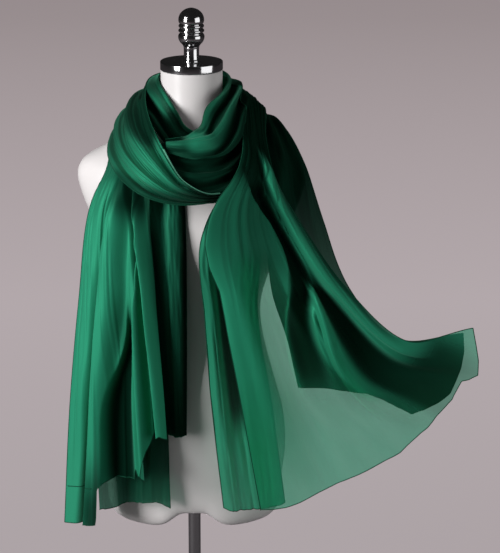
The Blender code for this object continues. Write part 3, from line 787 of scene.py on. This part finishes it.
wrap = {
    "name": "wrap_and_right_tail",
    "nodes": ["scarf_front_band", "scarf_right_tail_front"],
    "sections": (
        # band, from the lower middle in front up and round the left side of the neck
        Section((52, -154, 869), (50, -159, 856), 0, 0.9, pleat=0.3),
        Section((28, -164, 870), (27, -170, 856), 0, 0.9),
        Section((4, -170, 882), (-10, -182, 856), 2, 0.75),
        Section((-19, -160, 900), (-46, -180, 860), 6, 0.3),
        Section((-42, -138, 938), (-84, -164, 872), 10, 0.15),
        Section((-62, -96, 974), (-116, -118, 890), 12, 0.35),
        Section((-71, -34, 1002), (-134, -48, 910), 10, 0.55),
        Section((-62, 30, 1016), (-128, 44, 924), 9, 0.5),
        # behind the neck
        Section((-34, 73, 1020), (-90, 114, 922), 8, 0.2, pleat=0.9),
        Section((8, 84, 1018), (4, 146, 918), 10, 0.1, pleat=0.75),
        Section((50, 64, 1016), (92, 114, 928), 10, 0.3, pleat=0.7),
        Section((70, 0, 1010), (120, 4, 976), 4, 0.93, pleat=0.5),
        # right shoulder and tail
        Section((84, -70, 978), (122, -66, 938), 4, 0.95, pleat=0.6),
        Section((76, -144, 914), (138, -108, 882), 6, 0.94, pleat=0.75),
        Section((38, -180, 838), (180, -118, 799), 10, 0.4, 0.98, 0.95),
        Section((50, -184, 698), (252, -132, 703), 14, 0, 0.97, bow=6),
        Section((81, -178, 533), (352, -150, 624), 16, 0, 0.85, bow=34),
        Section((117, -166, 336), (460, -158, 642), 14, 0, 0.5),
    ),
    "hemBow": ((0, -3), (0.033, 9), (0.071, 19), (0.127, 28), (0.22, 42), (0.32, 51), (0.433, 67), (0.51, 76),
               (0.583, 75), (0.665, 74), (0.767, 70), (0.812, 61), (0.84, 56), (0.865, 62), (0.90, 63),
               (0.938, 44), (0.968, 22), (1, -3)),
    "hemBowFrom": 0.90,
    # length share, and how far the start edge sticks out there
    "startEdge": ((0.79, 0), (0.815, 6), (0.845, 18), (0.86, 14), (0.875, 2), (0.89, 0)),
    "folds": (
        # round the neck
        Fold(-0.06, 0.04, 0.12, 5, 0, 0.52),
        Fold((0.10, 0.10, 0.12, 0.12), (0.17, 0.18, 0.20, 0.20), (0.26, 0.27, 0.30, 0.30), -7, 0.12, 0.55),
        Fold((0.22, 0.24, 0.28, 0.30), (0.32, 0.34, 0.38, 0.38), (0.46, 0.46, 0.50, 0.50), 6, 0, 0.55, 1.6),
        Fold((0.42, 0.42, 0.46, 0.46), (0.50, 0.51, 0.54, 0.54), (0.58, 0.60, 0.62, 0.62), -5, 0.1, 0.55),
        Fold((0.56, 0.56, 0.60, 0.60), (0.68, 0.66, 0.70, 0.70), (0.82, 0.78, 0.80, 0.80), 6, 0, 0.55, 1.6),
        Fold((0.74, 0.74, 0.76, 0.76), (0.82, 0.82, 0.84, 0.84), (0.90, 0.90, 0.92, 0.92), -5, 0.05, 0.55),
        Fold((0.86, 0.86, 0.88), (0.95, 0.95, 0.96), 1.06, 5, 0, 0.55),
        # shade on the band's upper part and along its lower hem
        Fold(-0.50, (0.04, 0.06, 0.04), (0.22, 0.60, 0.60), 0, 0.24, 0.44, 2.2, 0.85),
        Fold((0.42, 0.55, 0.72, 0.92), (0.85, 0.92, 1.02, 1.15), 1.8, 0, 0.05, 0.32, 2.5, 0.75),
        # right tail: main panel, and the shade on its upper part
        Fold(-0.06, (0.10, 0.10, 0.09, 0.08, 0.06), (0.42, 0.50, 0.50, 0.34, 0.22),
             14, 0.72, 1, 2.0, lean=-3),
        Fold((-0.50, -0.35, -0.05, 0.05), (0.20, 0.30, 0.38, 0.44), 0.90, 0, 0.765, 0.885, 1.8, 0.48),
        # gap darkened by painted shade, inner fold, recess darkened the same way, and the painted shade at
        # the tip
        Fold((-0.10, 0.28, 0.57, 0.65, 0.57, 0.40, 0.33, 0.31),
             (0.20, 0.48, 0.68, 0.745, 0.70, 0.54, 0.47, 0.44),
             (0.50, 0.62, 0.74, 0.80, 0.80, 0.63, 0.58, 0.55), -20, 0.76, 0.955, 2.4, 1.0),
        Fold((0.73, 0.675, 0.60, 0.575, 0.55), (0.75, 0.71, 0.635, 0.605, 0.58),
             (0.77, 0.745, 0.68, 0.665, 0.66), 13, 0.862, 0.985, 1.4, 0.0, -2),
        Fold((0.775, 0.75, 0.69, 0.655, 0.64, 0.64), (0.80, 0.81, 0.81, 0.80, 0.79, 0.78),
             (0.835, 0.865, 0.90, 0.91, 0.92, 0.90), -20, 0.85, 1.02, 2.6, 1.0),
        Fold((0.70, 0.72, 0.70), (0.86, 0.88, 0.84), (1.12, 1.08, 0.98), 0, 0.93, 1, 2.0, 0.88),
        # rolled ridge, and the shade to its right
        Fold((0.34, 0.49, 0.64, 0.755, 0.81, 0.84, 0.885, 0.915, 0.93, 0.93),
             (0.46, 0.61, 0.74, 0.83, 0.865, 0.89, 0.925, 0.95, 0.96, 0.96),
             (0.90, 0.96, 1.05, 1.12, 1.14, 1.12, 1.10, 1.08, 1.06, 1.04), 15, 0.73, 0.975, 1.8, 0.05, -3),
        Fold((0.66, 0.76, 0.86, 0.90, 0.93, 0.95), (0.95, 1.0, 1.02, 1.03, 1.04, 1.05), 1.4,
             0, 0.74, 0.95, 1.8, 0.75),
        # soft waves in the lower hem
        Fold((0.34, 0.30, 0.26), (0.42, 0.38, 0.34), (0.54, 0.50, 0.46), 8, 0.93),
        Fold((0.52, 0.50, 0.48), (0.62, 0.60, 0.58), (0.74, 0.74, 0.72), -8, 0.93, deep=0.0),
    ),
    # one layer, without the back layer or the inner strip behind it
    "thin": Thin((0.05, 0.10, 0.15, 0.15), (0.42, 0.44, 0.52, 0.62), (0.53, 0.56, 0.72, 1.05),
                 0.84, 1.02, 2.0, 0.48),
    "paintedHighlightSpan": (0.01, 0.235),
    "foldFade": 0.035,
    "creases": 54, "creaseHeight": 1.6, "crumple": 0.8, "seed": 19,
    "squares": (190, 460), "hems": ("hem", "start", "end"),
    "flat": (0.18, 1.41), "held": "draped",
}

napeUnder = {
    "name": "nape_turn",
    "nodes": ["scarf_nape_under"],
    "sections": (
        Section((-64, 36, 992), (-124, 46, 944), 4),
        Section((-46, 66, 970), (-96, 112, 908), 6),
        Section((2, 84, 958), (6, 134, 872), 8),
        Section((46, 66, 970), (92, 110, 912), 6),
        Section((66, 36, 990), (118, 46, 946), 4),
    ),
    "folds": (
        Fold(0.12, 0.26, 0.40, -4),
        Fold(0.38, 0.52, 0.66, 5),
        Fold(0.64, 0.78, 0.92, -4),
    ),
    "creases": 14, "creaseHeight": 1.4, "crumple": 0.6, "seed": 20,
    "squares": (60, 120), "hems": ("end",),
    "flat": (0.09, 0.29), "held": "draped",
}

# innermost first
layingOrder = (
    napeUnder, leftTailBack, leftTailInner, leftTailFront, underBand, collar, cowl,
    rightTailInner, rightTailBack, wrap,
)


def sectionPoints(look, across, along):
    sections = look["sections"]
    start = rowCurve([row.start for row in sections], along)
    end = rowCurve([row.end for row in sections], along)
    bow = rowCurve([row.bow for row in sections], along) * 4 * across * (1 - across)
    if "hemBow" in look:
        # the last row bends by its own table, which comes in over the last stretch
        share = np.clip((along - look["hemBowFrom"]) / (1 - look["hemBowFrom"]), 0, 1) ** 2
        bow += np.interp(across, *zip(*look["hemBow"])) * share
    chord = end - start
    chord = chord / np.linalg.norm(chord, axis=-1, keepdims=True)
    down = np.stack([chord[:, 2], np.zeros(len(chord)), -chord[:, 0]], -1)
    points = start + (end - start) * across[:, None] + down * bow[:, None]
    if "startEdge" in look:
        nearness = np.clip(1 - across / clothRules["cornerReach"], 0, 1) ** 2
        points -= chord * (np.interp(along, *zip(*look["startEdge"])) * nearness)[:, None]
    return points


def sectionFronts(look, across, along):
    # directions straight out of the cloth, before its folds
    step = clothRules["slopeStep"]
    acrossWay = sectionPoints(look, across + step, along) - sectionPoints(look, across - step, along)
    low, high = np.maximum(along - step, 0), np.minimum(along + step, 1)
    alongWay = sectionPoints(look, across, high) - sectionPoints(look, across, low)
    front = np.cross(alongWay, acrossWay)
    return front / np.linalg.norm(front, axis=-1, keepdims=True)


def foldLine(line, share):
    return rowCurve(line, share) if np.ndim(line) else line


def foldShape(look, fold, across, along):
    # share of a fold's height at each place, 1 on its crest and 0 at its feet
    local = (along - fold.begins) / (fold.ends - fold.begins)
    left, crest, right = (foldLine(line, local) for line in (fold.left, fold.crest, fold.right))
    width = np.maximum(np.where(across < crest, crest - left, right - crest), clothRules["leastFoldWidth"])
    distance = np.minimum(np.abs(across - crest) / width, 1)
    fade = look.get("foldFade", clothRules["foldFade"])
    share = np.ones_like(along)
    if fold.begins > 0:
        share *= np.clip((along - fold.begins) / fade, 0, 1)
    if fold.ends < 1:
        share *= np.clip((fold.ends - along) / fade, 0, 1)
    return 0.5 * (1 + np.cos(np.pi * distance ** fold.plateau)) * share * share * (3 - 2 * share)


def fineCreases(look):
    # small uneven creases between the main folds, the same ones each time
    draw = np.random.default_rng(look["seed"])
    made = []
    for _ in range(look["creases"]):
        top = draw.uniform(*clothRules["creasePlace"])
        drift = draw.normal(0, clothRules["creaseDrift"])
        begins = draw.uniform(*clothRules["creaseBegins"])
        length = draw.uniform(*clothRules["creaseLength"])
        crest = np.array((top, top + drift * draw.uniform(*clothRules["creaseBend"]), top + drift))
        left, right = draw.uniform(*clothRules["creaseHalfWidth"], 2)
        height = draw.uniform(-1, 1) * look["creaseHeight"]
        made.append(Fold(crest - left, crest, crest + right, height, max(begins, 0), min(begins + length, 1)))
    return made


def crumple(look, across, along):
    # soft unevenness of the whole sheet, from a few slow waves
    draw = np.random.default_rng(look["seed"] + 100)
    height = np.zeros_like(across)
    for _ in range(clothRules["waves"]):
        acrossTurns = draw.uniform(*clothRules["wavesAcross"])
        alongTurns = draw.uniform(*clothRules["wavesAlong"])
        start = draw.uniform(*clothRules["waveStart"])
        waves = 2 * np.pi * (acrossTurns * across * draw.choice((-1, 1)) + alongTurns * along)
        height += np.sin(waves + start) / (1 + clothRules["waveSoftening"] * acrossTurns)
    return height * look["crumple"] * clothRules["waveHeight"]


def raisedAlong(look, across, along):
    # shortens the last stretch where the hem is raised
    lastStart = np.full_like(along, 1 - 1 / (len(look["sections"]) - 1))
    lastWay = sectionPoints(look, across, lastStart) - sectionPoints(look, across, np.ones_like(along))
    rise = np.interp(across, *zip(*look["hemRise"])) / np.linalg.norm(lastWay, axis=-1)
    return along * (1 - rise * (1 - lastStart))


def clothPoints(look, across, along):
    # points, directions out of the cloth, and how much painted shade each point gets
    if "hemRise" in look:
        along = raisedAlong(look, across, along)
    sections = look["sections"]
    pleat = rowCurve([row.pleat for row in sections], along)
    offset = rowCurve([row.belly for row in sections], along) * 4 * across * (1 - across)
    deep = rowCurve([row.deep for row in sections], along)
    shift = np.zeros_like(across)
    for fold in (*look["folds"], *fineCreases(look)):
        crest = foldShape(look, fold, across, along)
        offset += fold.height * crest * pleat
        shift += fold.lean * crest * pleat
        if fold.deep is None:
            deep = np.maximum(deep, crest * -fold.height / clothRules["paintedShadeDepth"])
        else:
            deep += crest * (fold.deep - deep)
    offset += crumple(look, across, along)
    hemWidth = math.dist(sections[-1].start, sections[-1].end)
    fronts = sectionFronts(look, across, along)
    points = sectionPoints(look, across + shift / hemWidth, along) + fronts * offset[:, None]
    return points * mm, fronts, np.clip(deep, 0, 1)


def clothCover(look, across, along):
    cover = rowCurve([row.cover for row in look["sections"]], along)
    if "thin" in look:
        cover += foldShape(look, look["thin"], across, along) * (look["thin"].cover - cover)
    return np.clip(cover, 0, 1)


def liftsNeeded(laid, points, fronts):
    reach, gap = clothRules["liftReach"] * mm, clothRules["layGap"] * mm
    lifts = np.zeros(len(points))
    for index, (point, front) in enumerate(zip(points.tolist(), fronts.tolist())):
        point, front = Vector(point), Vector(front)
        hit = laid.ray_cast(point + front * reach, -front, 2 * reach)[0]
        if hit is not None:
            lifts[index] = max((hit - point).dot(front) + gap, 0.0)
    return lifts


def spreadLifts(lifts):
    # lets the cloth beside a lifted place rise with it
    for _ in range(clothRules["liftSpreads"]):
        wide = np.pad(lifts, 1, mode="edge")
        near = (wide[:-2, 1:-1] + wide[2:, 1:-1] + wide[1:-1, :-2] + wide[1:-1, 2:]) / 4
        lifts = np.maximum(lifts, near)
    return lifts


def liftClear(laid, points, fronts, shape):
    # raises the cloth until it lies on what is already there
    for _ in range(clothRules["liftPasses"]):
        lifts = spreadLifts(liftsNeeded(laid, points, fronts).reshape(shape))
        points = points + fronts * lifts.reshape(-1, 1)
    return points.reshape(*shape, 3)


def clothForm(look, squaresAcross, squaresAlong, grid, tones):
    form = bmesh.new()
    bmesh.ops.create_grid(form, x_segments=squaresAcross, y_segments=squaresAlong, size=0.5)
    flat = form.loops.layers.uv.new("cloth")
    layers = {name: form.verts.layers.float.new(name) for name in tones}
    places = {vertex: gridPlace(vertex, squaresAcross, squaresAlong) for vertex in form.verts}
    for vertex, (side, level) in places.items():
        vertex.co = grid[level, side]
        for name, layer in layers.items():
            vertex[layer] = tones[name][level, side]
    width, length = look["flat"]
    for face in form.faces:
        for loop in face.loops:
            side, level = places[loop.vert]
            loop[flat].uv = (side / squaresAcross * width, level / squaresAlong * length)
    form.verts.index_update()
    return form


def addHem(name, path, material, radius):
    curve = bpy.data.curves.new(name, "CURVE")
    curve.dimensions = "3D"
    curve.bevel_depth = radius
    curve.bevel_resolution = 1
    curve.use_fill_caps = True
    spline = curve.splines.new("POLY")
    spline.points.add(len(path) - 1)
    for point, place in zip(spline.points, path):
        point.co = (*place, 1)
    curve.materials.append(material)
    hem = addItem(name, curve)
    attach(hem, "root")
    return hem


def addHems(look, grid, finishes):
    name, radius = look["name"], hemLook["radius"]
    lastLevel, lastSide = len(grid) - 1, len(grid[0]) - 1
    edges = {"start": grid[:, 0], "end": grid[:, -1], "hem": grid[-1]}
    hems = [addHem(f"{name}_hem_{side}", edges[side], finishes["hem"], radius) for side in look["hems"]]
    # a thicker tube along the start edge, coloured lighter as a painted highlight
    if "paintedHighlightSpan" in look:
        low, high = (round(share * lastLevel) for share in look["paintedHighlightSpan"])
        path = grid[low:high, 0]
        hems.append(addHem(name + "_turned_edge", path, finishes["turnedEdge"], hemLook["turnedRadius"]))
    if "stitchSpan" in look:
        low, high = (round(share * lastSide) for share in look["stitchSpan"])
        level = lastLevel - round(look["stitchRise"] * mm / look["flat"][1] * lastLevel)
        hems.append(addHem(name + "_stitch", grid[level, low:high], finishes["hem"], radius))
    return hems


def addSheet(look, finishes, laidPoints, laidFaces):
    squaresAcross, squaresAlong = look["squares"]
    column, row = np.meshgrid(np.arange(squaresAcross + 1), np.arange(squaresAlong + 1))
    across, along = column.ravel() / squaresAcross, row.ravel() / squaresAlong
    points, fronts, deep = clothPoints(look, across, along)
    laid = BVHTree.FromPolygons(laidPoints, laidFaces)
    grid = liftClear(laid, points, fronts, column.shape)
    cover = clothCover(look, across, along)
    tones = {"cover": cover.reshape(column.shape), "deep": deep.reshape(column.shape)}
    form = clothForm(look, squaresAcross, squaresAlong, grid, tones)
    base = len(laidPoints)
    laidPoints += [tuple(vertex.co) for vertex in form.verts]
    laidFaces += [[base + vertex.index for vertex in face.verts] for face in form.faces]
    area = sum(face.calc_area() for face in form.faces)
    mesh = meshFrom(form, look["name"])
    piece = finishPiece(look["name"], mesh, finishes["cloth"], look["nodes"])
    hems = addHems(look, grid, finishes)
    long = np.linalg.norm(np.diff(grid[:, squaresAcross // 2], axis=0), axis=-1).sum()
    print(f"{look['name']}: {area:.4f} m2, {long:.3f} m long, {area / long:.3f} m wide")


bpy.context.scene.view_settings.view_transform = "Standard"
addCamera()
addLamps()
addWorld()
addFloor()
print("studio ready")

formPiece = addDressForm(dressForm, addFormFinish("form_satin", formLook))
addStand(addChrome("stand_chrome", chromeLook))
print("dress form and stand ready")

finishes = {
    "cloth": addChiffon("emerald_chiffon", chiffonLook),
    "hem": addHemFinish("chiffon_hem", hemLook, hemLook["colors"]),
    "turnedEdge": addHemFinish("chiffon_turned_edge", hemLook, hemLook["paintedHighlightColors"]),
}
laidPoints = [tuple(vertex.co) for vertex in formPiece.data.vertices]
laidFaces = [list(face.vertices) for face in formPiece.data.polygons]
for look in layingOrder:
    addSheet(look, finishes, laidPoints, laidFaces)
print("chiffon laid")
